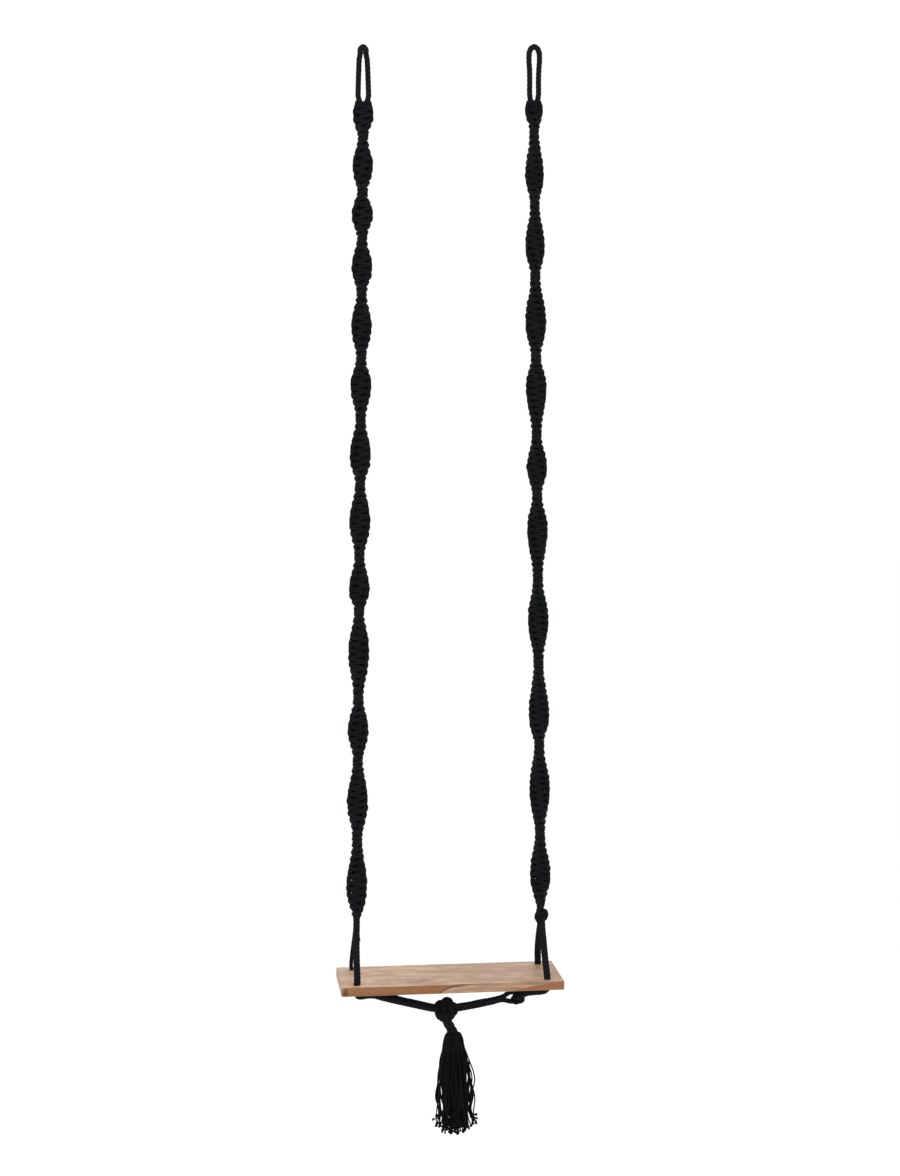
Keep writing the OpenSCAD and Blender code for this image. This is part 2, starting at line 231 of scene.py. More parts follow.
class SwingBandSettings(bpy.types.PropertyGroup):
    """Sizes of the two knotted bands."""

    cord_radius: FloatProperty(
        name="Knotting Cord Radius", description="Half the thickness of the cords that are knotted", default=0.0040,
        unit="LENGTH",
    )
    half_width: FloatProperty(
        name="Half Width", description="From the band's middle to the middle of a side loop", default=0.0170,
        unit="LENGTH",
    )
    front_reach: FloatProperty(
        name="Front Reach", description="From the band's middle to the middle of a bar across its face",
        default=0.0067, unit="LENGTH",
    )
    side_return: FloatProperty(
        name="Side Return", description="How far a side loop passes behind the band's middle", default=0.0014,
        unit="LENGTH",
    )
    bar_slant: FloatProperty(
        name="Bar Slant", description="How much each bar rises and each side loop drops", default=0.0043,
        unit="LENGTH",
    )
    side_swell: FloatProperty(
        name="Side Swell", description="How much one side loop stands out more than the next, as a share",
        default=0.025,
    )
    left_pitch: FloatProperty(
        name="Left Half Knot Pitch", description="Height of one half knot in the left band", default=0.0069,
        unit="LENGTH",
    )
    right_pitch: FloatProperty(
        name="Right Half Knot Pitch", description="Height of one half knot in the right band", default=0.0063,
        unit="LENGTH",
    )
    points_per_knot: IntProperty(
        name="Points per Half Knot", description="How finely each half knot is followed", default=18,
    )
    fibres_per_metre: IntProperty(
        name="Stray Fibres per Metre", description="Loose cotton fibres along each cord", default=500,
    )


class SwingCordSettings(bpy.types.PropertyGroup):
    """Sizes of the free cords and the tied knots."""

    loop_diameter: FloatProperty(
        name="Loop Cord Diameter", description="Thickness of the hanging loops' cord", default=0.0110,
        unit="LENGTH",
    )
    leg_diameter: FloatProperty(
        name="Leg Cord Diameter", description="Thickness of the cords through the seat", default=0.0140,
        unit="LENGTH",
    )
    thin_leg_diameter: FloatProperty(
        name="Thin Leg Cord Diameter", description="Thickness of the cord at the left back", default=0.0080,
        unit="LENGTH",
    )
    yoke_diameter: FloatProperty(
        name="Yoke Strand Diameter", description="Thickness of each strand between the two lower knots",
        default=0.0102, unit="LENGTH",
    )
    neck_radius: FloatProperty(
        name="Neck Radius", description="Half the thickness of the tassel's neck", default=0.0108, unit="LENGTH",
    )


class SwingSeatSettings(bpy.types.PropertyGroup):
    """Sizes of the wooden seat."""

    edge_ease: FloatProperty(
        name="Eased Edge", description="How far the plank's edges are rounded", default=0.0014, unit="LENGTH",
    )
    corner_radius: FloatProperty(
        name="Corner Radius", description="Radius of the upright corners", default=0.004, unit="LENGTH",
    )
    hole_across: FloatProperty(
        name="Hole Across", description="From the middle of the seat to a cord hole along its length",
        default=0.193, unit="LENGTH",
    )
    hole_deep: FloatProperty(
        name="Hole Deep", description="From the middle of the seat to a cord hole along its depth", default=0.060,
        unit="LENGTH",
    )
    hole_radius: FloatProperty(name="Hole Radius", description="Radius of a cord hole", default=0.00625, unit="LENGTH")


class SwingTasselSettings(bpy.types.PropertyGroup):
    """Sizes of the tassel."""

    strand_radius: FloatProperty(
        name="Strand Radius", description="Half the thickness of one tassel strand", default=0.0014, unit="LENGTH",
    )
    strands_per_cord: IntProperty(
        name="Strands per Cord", description="Strands that each tassel cord opens into", default=8,
    )
    crown_radius: FloatProperty(
        name="Crown Radius", description="Radius of the rounded top", default=0.0238, unit="LENGTH",
    )
    skirt_radius: FloatProperty(
        name="Skirt Radius", description="Radius of the outer strands at the bottom", default=0.041, unit="LENGTH",
    )
    end_knot_radius: FloatProperty(
        name="End Knot Radius", description="Radius of the knot that ends a strand", default=0.0034, unit="LENGTH",
    )


class SwingColourSettings(bpy.types.PropertyGroup):
    """Colours of the cotton and the wood."""

    # Painted shade: the dark colour that fills the grooves between the plies.
    cotton_deep: FloatVectorProperty(
        name="Cotton in the Grooves", description="Colour between the plies", subtype="COLOR", size=4,
        default=(0.0014, 0.0015, 0.0019, 1),
    )
    cotton_worn: FloatVectorProperty(
        name="Cotton on the Plies", description="Colour where the cord is rubbed", subtype="COLOR", size=4,
        default=(0.0085, 0.0092, 0.0112, 1),
    )
    wood_pale: FloatVectorProperty(
        name="Pale Wood", description="Colour of the seat's top", subtype="COLOR", size=4,
        default=(0.61, 0.405, 0.266, 1),
    )
    # Partly the real orange side grain and partly painted shade on the side faces.
    wood_heart: FloatVectorProperty(
        name="Heartwood and Shade", description="Colour of the seat's edges", subtype="COLOR", size=4,
        default=(0.285, 0.125, 0.05, 1),
    )
    wood_dark: FloatVectorProperty(
        name="Dark Grain", description="Colour of knots and grain lines", subtype="COLOR", size=4,
        default=(0.09, 0.045, 0.022, 1),
    )


class SwingStageSettings(bpy.types.PropertyGroup):
    """The camera, floor and light."""

    camera_at: FloatVectorProperty(
        name="Camera", description="Where the camera stands", subtype="TRANSLATION",
        default=(-0.5109, -4.2695, -0.677),
    )
    camera_tilt: FloatProperty(
        name="Camera Tilt", description="The camera's angle from straight down", subtype="ANGLE",
        default=math.radians(84.91),
    )
    camera_turn: FloatProperty(
        name="Camera Turn", description="The camera's turn about the upright", subtype="ANGLE",
        default=math.radians(-6.85),
    )
    focal_length: FloatProperty(name="Focal Length", description="Focal length in millimetres", default=65.9)
    floor_z: FloatProperty(
        name="Floor Height", description="Height of the floor under the hanging swing", default=-3.4, unit="LENGTH",
    )


class SwingSettings(bpy.types.PropertyGroup):
    """Everything that can be changed on the swing."""

    band: PointerProperty(type=SwingBandSettings)
    cord: PointerProperty(type=SwingCordSettings)
    seat: PointerProperty(type=SwingSeatSettings)
    tassel: PointerProperty(type=SwingTasselSettings)
    colour: PointerProperty(type=SwingColourSettings)
    stage: PointerProperty(type=SwingStageSettings)


# ---------------------------------------------------------------- node building


class Term:
    """A number in a node tree. Arithmetic on it adds Math nodes."""

    def __init__(self, tree, socket):
        self.tree = tree
        self.socket = socket

    def math(self, operation, *others):
        return Term(self.tree, add_node(self.tree, "ShaderNodeMath", self, *others, operation=operation).outputs[0])

    def __add__(self, other):
        return self.math("ADD", other)

    def __sub__(self, other):
        return self.math("SUBTRACT", other)

    def __mul__(self, other):
        return self.math("MULTIPLY", other)

    def __truediv__(self, other):
        return self.math("DIVIDE", other)

    def ramp(self, low, high):
        """0 below low and 1 above high, with a soft step between."""
        node = add_node(self.tree, "ShaderNodeMapRange", self, interpolation_type="SMOOTHSTEP")
        node.inputs["From Min"].default_value = low
        node.inputs["From Max"].default_value = high
        return Term(self.tree, node.outputs[0])


def connect(tree, value, socket):
    """Sets a socket to a value, or links it to a term or another socket."""
    if isinstance(value, Term):
        tree.links.new(value.socket, socket)
    elif isinstance(value, bpy.types.NodeSocket):
        tree.links.new(value, socket)
    else:
        socket.default_value = value


def add_node(tree, kind, *inputs, named=None, **settings):
    """Adds a node with its settings, its first inputs in order and its named inputs."""
    node = tree.nodes.new(kind)
    for key, value in settings.items():
        setattr(node, key, value)
    shown = [s for s in node.inputs if s.enabled]
    for value, socket in zip(inputs, shown):
        connect(tree, value, socket)
    for key, value in (named or {}).items():
        connect(tree, value, node.inputs[key])
    return node


def new_tree(name, kind, inputs, outputs):
    """An empty node group. An input is given by its default, or by its kind where it has no default.

    Returns the tree, its input sockets by name, and its output node.
    """
    tree = bpy.data.node_groups.new(name, kind)
    for label, value in inputs.items():
        if isinstance(value, str):
            tree.interface.new_socket(label, in_out="INPUT", socket_type=f"NodeSocket{value}")
        else:
            number = "NodeSocketInt" if isinstance(value, int) else "NodeSocketFloat"
            tree.interface.new_socket(label, in_out="INPUT", socket_type=number).default_value = value
    for label, socket_kind in outputs.items():
        tree.interface.new_socket(label, in_out="OUTPUT", socket_type=f"NodeSocket{socket_kind}")
    given = tree.nodes.new("NodeGroupInput")
    result = tree.nodes.new("NodeGroupOutput")
    return tree, {label: Term(tree, given.outputs[label]) for label in inputs}, result


def point_number(tree, name):
    """A number kept on the points of a mesh or curve."""
    return Term(tree, add_node(tree, "GeometryNodeInputNamedAttribute", name, data_type="FLOAT").outputs[0])


def keep_on_points(tree, geometry, name, value, data_type="FLOAT"):
    """Keeps a number or a direction on the points of a mesh or curve."""
    return add_node(
        tree, "GeometryNodeStoreNamedAttribute", geometry, named={"Name": name, "Value": value},
        data_type=data_type, domain="POINT",
    ).outputs[0]


def random_vector(tree, low, high, seed):
    """A random vector for each copy, the same on every run."""
    named = {"Min": low, "Max": high, "Seed": seed}
    return add_node(tree, "FunctionNodeRandomValue", named=named, data_type="FLOAT_VECTOR").outputs[0]


def noise(tree, place, **settings):
    """Smooth noise at a place, from 0 to 1."""
    return Term(tree, add_node(tree, "ShaderNodeTexNoise", place, named=settings).outputs[0])


def use_tree(tree, inner, values):
    """Uses one geometry tree inside another, with its inputs set by name."""
    node = tree.nodes.new("GeometryNodeGroup")
    node.node_tree = inner
    for label, value in values.items():
        connect(tree, value, node.inputs[label])
    return node.outputs[0]


def join(tree, first, second):
    """Two geometries as one."""
    node = tree.nodes.new("GeometryNodeJoinGeometry")
    for geometry in (first, second):
        tree.links.new(geometry, node.inputs[0])
    return node.outputs[0]


def mix_colours(tree, share, first, second):
    """The first colour where the share is 0, and the second where it is 1."""
    node = add_node(tree, "ShaderNodeMix", data_type="RGBA")
    for number, value in ((0, share), (6, first), (7, second)):
        connect(tree, value, node.inputs[number])
    return node.outputs[2]


def shaded(colour, shares):
    """A colour with each channel brought to its share."""
    return [channel * share for channel, share in zip(colour, shares)] + [1]


def finish_tree(tree, result, geometry, material):
    """Ends a geometry tree in Realize Instances and Set Material."""
    real = add_node(tree, "GeometryNodeRealizeInstances", geometry).outputs[0]
    painted = add_node(tree, "GeometryNodeSetMaterial", real, named={"Material": material}).outputs[0]
    tree.links.new(painted, result.inputs[0])


# ---------------------------------------------------------------- geometry trees


def cord_tree():
    """Sweeps a round cord along every line, with the plies of a laid rope pressed into it."""
    tree, given, result = new_tree(
        "Laid Cord", "GeometryNodeTree",
        {
            "Lines": "Geometry", "Cord Radius": 0.004,
            "Sides": 16, "Plies": 3.0, "Lay Length": 0.03,
            "Ply Depth": 0.0004, "Material": "Material",
        },
        {"Geometry": "Geometry"},
    )
    line = add_node(tree, "GeometryNodeMeshToCurve", given["Lines"]).outputs[0]
    along = add_node(tree, "GeometryNodeSplineParameter").outputs["Length"]
    line = keep_on_points(tree, line, "along", along)
    thickness = point_number(tree, "thickness")
    circle = {"Resolution": given["Sides"], "Radius": given["Cord Radius"]}
    ring = add_node(tree, "GeometryNodeCurvePrimitiveCircle", named=circle, mode="RADIUS").outputs[0]
    angle = Term(tree, add_node(tree, "GeometryNodeInputIndex").outputs[0]) * math.tau / given["Sides"]
    around = add_node(tree, "ShaderNodeCombineXYZ", angle.math("COSINE"), angle.math("SINE"), 0.0).outputs[0]
    ring = keep_on_points(tree, ring, "around", around, "FLOAT_VECTOR")
    shape = {"Profile Curve": ring, "Scale": thickness, "Fill Caps": True}
    sweep = add_node(tree, "GeometryNodeCurveToMesh", line, named=shape).outputs[0]
    facing = add_node(tree, "GeometryNodeInputNamedAttribute", "around", data_type="FLOAT_VECTOR").outputs[0]
    turned = add_node(tree, "ShaderNodeSeparateXYZ", facing)
    theta = Term(tree, turned.outputs[1]).math("ARCTAN2", turned.outputs[0])
    lay = point_number(tree, "along") * math.tau / given["Lay Length"]
    crown = ((theta - lay) * given["Plies"] * 0.5).math("COSINE").math("ABSOLUTE")
    press = (crown - 1.0) * given["Ply Depth"] * thickness
    normal = add_node(tree, "GeometryNodeInputNormal").outputs[0]
    offset = add_node(tree, "ShaderNodeVectorMath", normal, operation="SCALE", named={"Scale": press}).outputs[0]
    laid = add_node(tree, "GeometryNodeSetPosition", sweep, named={"Offset": offset}).outputs[0]
    smooth = add_node(tree, "GeometryNodeSetShadeSmooth", laid).outputs[0]
    finish_tree(tree, result, smooth, given["Material"])
    return tree


def band_tree(cord):
    """Leads one knotting cord down a band of square knots: across the face, round the side and back."""
    tree, given, result = new_tree(
        "Knotted Band", "GeometryNodeTree",
        {
            "Middle Line": "Geometry", "Points": 2000,
            "Half Width": 0.016, "Front Reach": 0.0066,
            "Side Return": 0.0034, "Bar Slant": 0.004,
            "Side Swell": 0.07, "Face": 1.0, "Cord Radius": 0.0034,
            "Sides": 10, "Lay Length": 0.022, "Seed": 1.0,
            "Fibres": 300, "Material": "Material",
        },
        {"Geometry": "Geometry"},
    )
    line = add_node(tree, "GeometryNodeMeshToCurve", given["Middle Line"]).outputs[0]
    line = add_node(tree, "GeometryNodeResampleCurve", line, named={"Count": given["Points"]}).outputs[0]
    knot = point_number(tree, "knot")
    turn = point_number(tree, "turn")
    fullness = point_number(tree, "fullness")

    def uneven(scale, shift):
        """A slow wander between -1 and 1 along the band."""
        place = knot * scale + given["Seed"] * 7.3 + given["Face"] * 3.1 + shift
        settings = {"W": place, "Scale": 1.0, "Detail": 1.0}
        wave = add_node(tree, "ShaderNodeTexNoise", named=settings, noise_dimensions="1D").outputs[0]
        return (Term(tree, wave) - 0.5) * 2.0

    phase = knot * math.pi
    swing = phase.math("COSINE")
    double = phase * 2.0
    swell = swing * given["Side Swell"] * -1.0 + 1.0 + uneven(0.37, 5.0) * 0.09
    squarer = swing * swing * -0.38 + 1.38
    across = swing * squarer * swell * given["Half Width"] * given["Face"] * fullness * -1.0
    middle_y = (given["Front Reach"] - given["Side Return"]) * 0.5
    range_y = (given["Front Reach"] + given["Side Return"]) * 0.5
    deep = (middle_y * -1.0 + double.math("COSINE") * range_y) * given["Face"] * (fullness * 0.5 + 0.5)
    deep = deep * (uneven(1.3, 11.0) * 0.1 + 1.0)
    slant = double.math("SINE") * given["Bar Slant"] * -1.0
    drop = slant + phase.math("SINE") * given["Face"] * -0.0005 + uneven(1.1, 23.0) * 0.0008
    cosine = turn.math("COSINE")
    sine = turn.math("SINE")
    place = (across * cosine - deep * sine, across * sine + deep * cosine, drop)
    offset = add_node(tree, "ShaderNodeCombineXYZ", *place).outputs[0]
    line = add_node(tree, "GeometryNodeSetPosition", line, named={"Offset": offset}).outputs[0]
    soft = uneven(1.7, 31.0) * 0.12 + 1.0
    line = keep_on_points(tree, line, "thickness", soft * (fullness * 0.25 + 0.75))
    body = use_tree(tree, cord, {
        "Lines": add_node(tree, "GeometryNodeCurveToMesh", line).outputs[0], "Cord Radius": given["Cord Radius"],
        "Sides": given["Sides"], "Plies": 3.0, "Lay Length": given["Lay Length"], "Ply Depth": 0.0,
        "Material": given["Material"],
    })
    fuzz = add_fibres(tree, body, given["Fibres"], given["Seed"])
    finish_tree(tree, result, join(tree, body, fuzz), given["Material"])
    return tree


def add_fibres(tree, surface, count, seed):
    """Short loose fibres that stand off a cord at random places, with a fixed seed."""
    spots = add_node(tree, "GeometryNodeDistributePointsOnFaces", surface, distribute_method="RANDOM")
    face_area = add_node(tree, "GeometryNodeInputMeshFaceArea").outputs[0]
    whole = add_node(
        tree, "GeometryNodeAttributeStatistic", surface, named={"Attribute": face_area}, data_type="FLOAT",
        domain="FACE",
    )
    connect(tree, count / whole.outputs["Sum"], spots.inputs["Density"])
    connect(tree, seed * 13.0, spots.inputs["Seed"])
    tapered = {"Vertices": 3, "Side Segments": 2, "Radius Top": 0.00003, "Radius Bottom": 0.00011, "Depth": 0.0034}
    fibre = add_node(tree, "GeometryNodeMeshCone", named=tapered, fill_type="NGON").outputs[0]
    lean = random_vector(tree, (-1.1, -1.1, 0.0), (1.1, 1.1, 6.2), seed * 5.0)
    upright = spots.outputs["Rotation"]
    turned = add_node(tree, "FunctionNodeRotateEuler", upright, named={"Rotate By": lean}, space="LOCAL").outputs[0]
    size = random_vector(tree, (0.8, 0.8, 0.3), (1.2, 1.2, 1.3), seed * 3.0)
    copy = {"Instance": fibre, "Rotation": turned, "Scale": size}
    return add_node(tree, "GeometryNodeInstanceOnPoints", spots.outputs["Points"], named=copy).outputs[0]


def knot_tree(cord):
    """Winds a cord round and through itself into a closed round knot."""
    tree, given, result = new_tree(
        "Wound Knot", "GeometryNodeTree",
        {
            "Seed Line": "Geometry", "Ring Radius": 0.011, "Winding Radius": 0.006,
            "Rounds": 2.0, "Windings": 3.0, "Points": 140,
            "Cord Radius": 0.005, "Sides": 12, "Lay Length": 0.03,
            "Ply Depth": 0.0004, "Material": "Material",
        },
        {"Geometry": "Geometry"},
    )
    circle = {"Resolution": given["Points"], "Radius": 1.0}
    ring = add_node(tree, "GeometryNodeCurvePrimitiveCircle", named=circle, mode="RADIUS").outputs[0]
    turn = Term(tree, add_node(tree, "GeometryNodeInputIndex").outputs[0]) * math.tau / given["Points"]
    wind = turn * given["Windings"]
    reach = wind.math("COSINE") * given["Winding Radius"] + given["Ring Radius"]
    round_turn = turn * given["Rounds"]
    place = add_node(
        tree, "ShaderNodeCombineXYZ", reach * round_turn.math("COSINE"), reach * round_turn.math("SINE"),
        wind.math("SINE") * given["Winding Radius"],
    ).outputs[0]
    ring = add_node(tree, "GeometryNodeSetPosition", ring, named={"Position": place}).outputs[0]
    ring = keep_on_points(tree, ring, "thickness", 1.0)
    body = use_tree(tree, cord, {
        "Lines": add_node(tree, "GeometryNodeCurveToMesh", ring).outputs[0], "Plies": 3.0,
        **{label: given[label] for label in ("Cord Radius", "Sides", "Lay Length", "Ply Depth", "Material")},
    })
    finish_tree(tree, result, body, given["Material"])
    return tree


def strand_tree(cord, knot):
    """Sweeps the tassel's strands and ties a small knot at the low end of each."""
    tree, given, result = new_tree(
        "Tassel Strands", "GeometryNodeTree",
        {
            "Lines": "Geometry", "Strand Radius": 0.0011, "Sides": 6,
            "Knot Radius": 0.003, "Seed": 1, "Material": "Material",
        },
        {"Geometry": "Geometry"},
    )
    strands = use_tree(tree, cord, {
        "Lines": given["Lines"], "Cord Radius": given["Strand Radius"], "Sides": given["Sides"], "Plies": 2.0,
        "Lay Length": 0.006, "Ply Depth": 0.0, "Material": given["Material"],
    })
    end_knot = use_tree(tree, knot, {
        "Ring Radius": given["Knot Radius"] * 0.48, "Winding Radius": given["Knot Radius"] * 0.26, "Rounds": 2.0,
        "Windings": 3.0, "Points": 26, "Cord Radius": given["Knot Radius"] * 0.3, "Sides": 5, "Lay Length": 0.006,
        "Ply Depth": 0.0, "Material": given["Material"],
    })
    curves = add_node(tree, "GeometryNodeMeshToCurve", given["Lines"]).outputs[0]
    ends = add_node(tree, "GeometryNodeCurveEndpointSelection", named={"Start Size": 0, "End Size": 1}).outputs[0]
    turn = random_vector(tree, (0.0, 0.0, 0.0), (3.1, 3.1, 3.1), given["Seed"])
    size = random_vector(tree, (0.8, 0.8, 0.9), (1.25, 1.25, 1.5), given["Seed"])
    copy = {"Selection": ends, "Instance": end_knot, "Rotation": turn, "Scale": size}
    tied = add_node(tree, "GeometryNodeInstanceOnPoints", curves, named=copy).outputs[0]
    finish_tree(tree, result, join(tree, strands, tied), given["Material"])
    return tree


def tree_named(name):
    """A geometry tree, built the first time that it is asked for."""
    if name in bpy.data.node_groups:
        return bpy.data.node_groups[name]
    if name == "Laid Cord":
        return cord_tree()
    if name == "Knotted Band":
        return band_tree(tree_named("Laid Cord"))
    if name == "Wound Knot":
        return knot_tree(tree_named("Laid Cord"))
    return strand_tree(tree_named("Laid Cord"), tree_named("Wound Knot"))


# ---------------------------------------------------------------- materials


def cotton_group():
    """Outputs of a laid cotton cord: its plies, its loose fibres, and a colour share of dust with painted groove shade.
    """
    name = "Cotton Lay"
    if name in bpy.data.node_groups:
        return bpy.data.node_groups[name]
    tree, given, result = new_tree(
        name, "ShaderNodeTree",
        {"Plies": 3.0, "Lay Length": 0.03, "Yarns per Ply": 5.0},
        {"Ply": "Float", "Height": "Float", "Rub": "Float"},
    )
    facing = add_node(tree, "ShaderNodeAttribute", attribute_name="around").outputs["Vector"]
    around = add_node(tree, "ShaderNodeSeparateXYZ", facing)
    theta = Term(tree, around.outputs[1]).math("ARCTAN2", around.outputs[0])
    along = Term(tree, add_node(tree, "ShaderNodeAttribute", attribute_name="along").outputs["Fac"])
    lay = along * math.tau / given["Lay Length"]
    twist = (theta - lay) * given["Plies"] * 0.5
    ply = twist.math("COSINE").math("ABSOLUTE").math("POWER", 0.6)
    yarn = ((theta + lay * 0.6) * given["Plies"] * given["Yarns per Ply"]).math("SINE") * 0.5 + 0.5
    place = add_node(tree, "ShaderNodeTexCoord").outputs["Object"]
    fine = noise(tree, place, Scale=2600.0, Detail=4.0, Roughness=0.7)
    cloudy = noise(tree, place, Scale=70.0, Detail=3.0)
    connect(tree, ply, result.inputs["Ply"])
    connect(tree, ply * 0.62 + yarn * 0.16 + fine * 0.22, result.inputs["Height"])
    # Lighter on the ply crowns and darker in the grooves as painted shade, with noise for real dust and rubbing.
    connect(tree, (ply * 0.45 + fine * 0.35 + cloudy * 0.35).ramp(0.3, 0.95), result.inputs["Rub"])
    return tree


def new_material(name):
    """An empty material and its Principled BSDF."""
    material = bpy.data.materials.new(name)
    material.use_nodes = True
    tree = material.node_tree
    tree.nodes.clear()
    shader = tree.nodes.new("ShaderNodeBsdfPrincipled")
    output = tree.nodes.new("ShaderNodeOutputMaterial")
    tree.links.new(shader.outputs[0], output.inputs[0])
    return material, tree, shader


def cord_paint(name):
    """Near-black cotton, darkened with painted shade in the grooves and slightly greyed where it is rubbed."""
    if name in bpy.data.materials:
        return bpy.data.materials[name]
    colours = bpy.context.scene.swing.colour
    lay_length, plies, bump, lighter = CORD_FINISHES[name]
    material, tree, shader = new_material(name)
    lay = tree.nodes.new("ShaderNodeGroup")
    lay.node_tree = cotton_group()
    lay.inputs["Plies"].default_value = plies
    lay.inputs["Lay Length"].default_value = lay_length
    worn = shaded(colours.cotton_worn, [lighter] * 3)
    # Mixes from painted groove shade to the rubbed cotton colour on the ply crowns.
    colour = mix_colours(tree, lay.outputs["Rub"], colours.cotton_deep, worn)
    tree.links.new(colour, shader.inputs["Base Color"])
    connect(tree, Term(tree, lay.outputs["Height"]) * -0.14 + 0.97, shader.inputs["Roughness"])
    relief = {"Strength": 0.9, "Distance": bump, "Height": lay.outputs["Height"]}
    raised = add_node(tree, "ShaderNodeBump", named=relief)
    tree.links.new(raised.outputs[0], shader.inputs["Normal"])
    shader.inputs["Specular IOR Level"].default_value = 0.07
    shader.inputs["Sheen Weight"].default_value = 0.012
    shader.inputs["Sheen Roughness"].default_value = 0.45
    return material


def wood_material(colours):
    """A pale oiled plank with fine long grain, orange heartwood with painted shade on its edges and a strip of sapwood.
    """
    material, tree, shader = new_material("oiled_plank")
    place = add_node(tree, "ShaderNodeTexCoord").outputs["Object"]
    axes = add_node(tree, "ShaderNodeSeparateXYZ", place)
    x, y, z = (Term(tree, axes.outputs[i]) for i in range(3))
    low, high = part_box("seat_plank")
    height = (z - low.z) / (high.z - low.z)

    def grain(scale_x, scale_y, scale_z, detail, shift=0.0):
        """Noise drawn out along the plank."""
        drawn_out = {"Scale": (scale_x, scale_y, scale_z), "Location": (shift, shift, shift)}
        at = add_node(tree, "ShaderNodeMapping", place, named=drawn_out).outputs[0]
        return noise(tree, at, Scale=1.0, Detail=detail, Roughness=0.62)

    def margin(distance):
        """1 within an edge's rounding of a face, and 0 further in."""
        return distance.ramp(0.0019, 0.0009)

    fibres = grain(16, 540, 540, 6.0)
    bands = grain(2.6, 42, 60, 4.0, 3.0)
    blotch = grain(11, 26, 26, 3.0, 13.0)
    wander = grain(5.5, 14, 14, 2.0, 8.0)
    mellow = (x + 0.2).ramp(0.0, 0.3)
    pith_y = y + 0.1 + (wander - 0.5) * 0.03
    pith = (pith_y.math("POWER", 2.0) + (z - low.z + 0.16).math("POWER", 2.0)).math("SQRT")
    rings = (pith * 760.0 + (bands - 0.5) * 16.0 + (wander - 0.5) * 9.0).math("SINE") * 0.5 + 0.5
    pores = grain(38, 1300, 1300, 2.0, 5.0).ramp(0.6, 0.72)
    weathered = (
        (x + 0.18).ramp(0.0, 0.03) * (x * -1.0 - 0.01).ramp(0.0, 0.04)
        * (y + 0.068).ramp(0.0, 0.02) * (y * -1.0 - 0.012).ramp(0.0, 0.02)
    )
    crack_lines = (grain(22, 260, 260, 3.0, 21.0) + weathered * 0.07).ramp(0.6, 0.68)
    cracks = crack_lines * (grain(9, 24, 24, 1.0, 2.0) + weathered * 0.16).ramp(0.5, 0.62)

    face = margin(y - low.y) + margin(y * -1.0 + high.y)
    ends = margin(x - low.x) + margin(x * -1.0 + high.x)
    edge = (face + ends).math("MINIMUM", 1.0)
    ripple = (wander - 0.5) * 0.25
    rise = (x + 0.031).math("MAXIMUM", 0.0) / 0.02
    left_line = (rise * -1.0).math("EXPONENT") * -1.02 + 1.0 + ripple * rise.math("MINIMUM", 1.0) * 0.3
    right_line = ((x - 0.118).math("MAXIMUM", 0.0) / 0.1).math("POWER", 0.75) + ripple * 0.4
    below_left = (left_line - height).ramp(-0.02, 0.05)
    above_right = (height - right_line).ramp(-0.08, 0.1)
    sap = below_left * above_right * (x + 0.031).ramp(-0.001, 0.002)
    streak = (
        (left_line - height).math("ABSOLUTE").ramp(0.15, 0.02)
        * (x + 0.034).ramp(-0.003, 0.002) * (x * -1.0 + 0.06).ramp(0.0, 0.06)
    )
    # The side faces, and less the ends, take the darker orange: partly real side grain and end grain, partly painted
    # shade.
    heart_and_side_shade = (face + ends * 0.35).math("MINIMUM", 1.0) * (sap * -0.88 + 1.0)
    sap_lines = grain(9, 1, 520, 3.0, 31.0).ramp(0.52, 0.66) * sap * edge

    pale_grain = rings * 0.12 + fibres * 0.95 + bands * 0.3 + blotch * 0.85 + weathered * 0.08 + mellow * 0.14
    pale_lines = shaded(colours.wood_pale, (0.52, 0.46, 0.42))
    pale = mix_colours(tree, pale_grain.ramp(0.85, 1.35), colours.wood_pale, pale_lines)
    warm_grain = rings * 0.12 + fibres * 0.55 + bands * 0.5 + blotch * 0.5
    warm_lines = shaded(colours.wood_heart, (0.6, 0.5, 0.45))
    warm = mix_colours(tree, warm_grain.ramp(0.42, 1.3), colours.wood_heart, warm_lines)
    whole = mix_colours(tree, heart_and_side_shade, pale, warm)

    mark_x = (x - low.x - 0.007).math("ABSOLUTE")
    mark_z = (height - 0.45) * 0.018
    mark_far = (mark_x * 1.4).math("POWER", 2.0) + mark_z.math("POWER", 2.0) + (y - low.y).math("POWER", 2.0)
    mark = (mark_far.math("SQRT") + (wander - 0.5) * 0.004).ramp(0.0055, 0.002)
    split_x = (x - low.x - 0.009).math("ABSOLUTE") + (wander - 0.5) * 0.02
    split_z = (height - 0.5).math("ABSOLUTE") + (fibres - 0.5) * 0.6
    split = split_x.ramp(0.004, 0.001) * split_z.ramp(0.5, 0.3) * edge * 0.85
    dark = (
        streak * edge + mark * 0.9 + pores * 0.42 + cracks * (edge * -1.0 + 1.0) * 0.85 + split
        + (sap_lines * 0.5 + sap * edge * 0.15)
    ).math("MINIMUM", 1.0)
    tree.links.new(mix_colours(tree, dark, whole, colours.wood_dark), shader.inputs["Base Color"])
    connect(tree, fibres * 0.22 + 0.42 + pores * 0.15, shader.inputs["Roughness"])
    relief = rings * 0.25 + fibres * 0.6 - pores * 0.5 - cracks * 1.2
    raised = add_node(tree, "ShaderNodeBump", named={"Strength": 0.5, "Distance": 0.0005, "Height": relief})
    tree.links.new(raised.outputs[0], shader.inputs["Normal"])
    shader.inputs["Specular IOR Level"].default_value = 0.35
    return material


# ---------------------------------------------------------------- making pieces


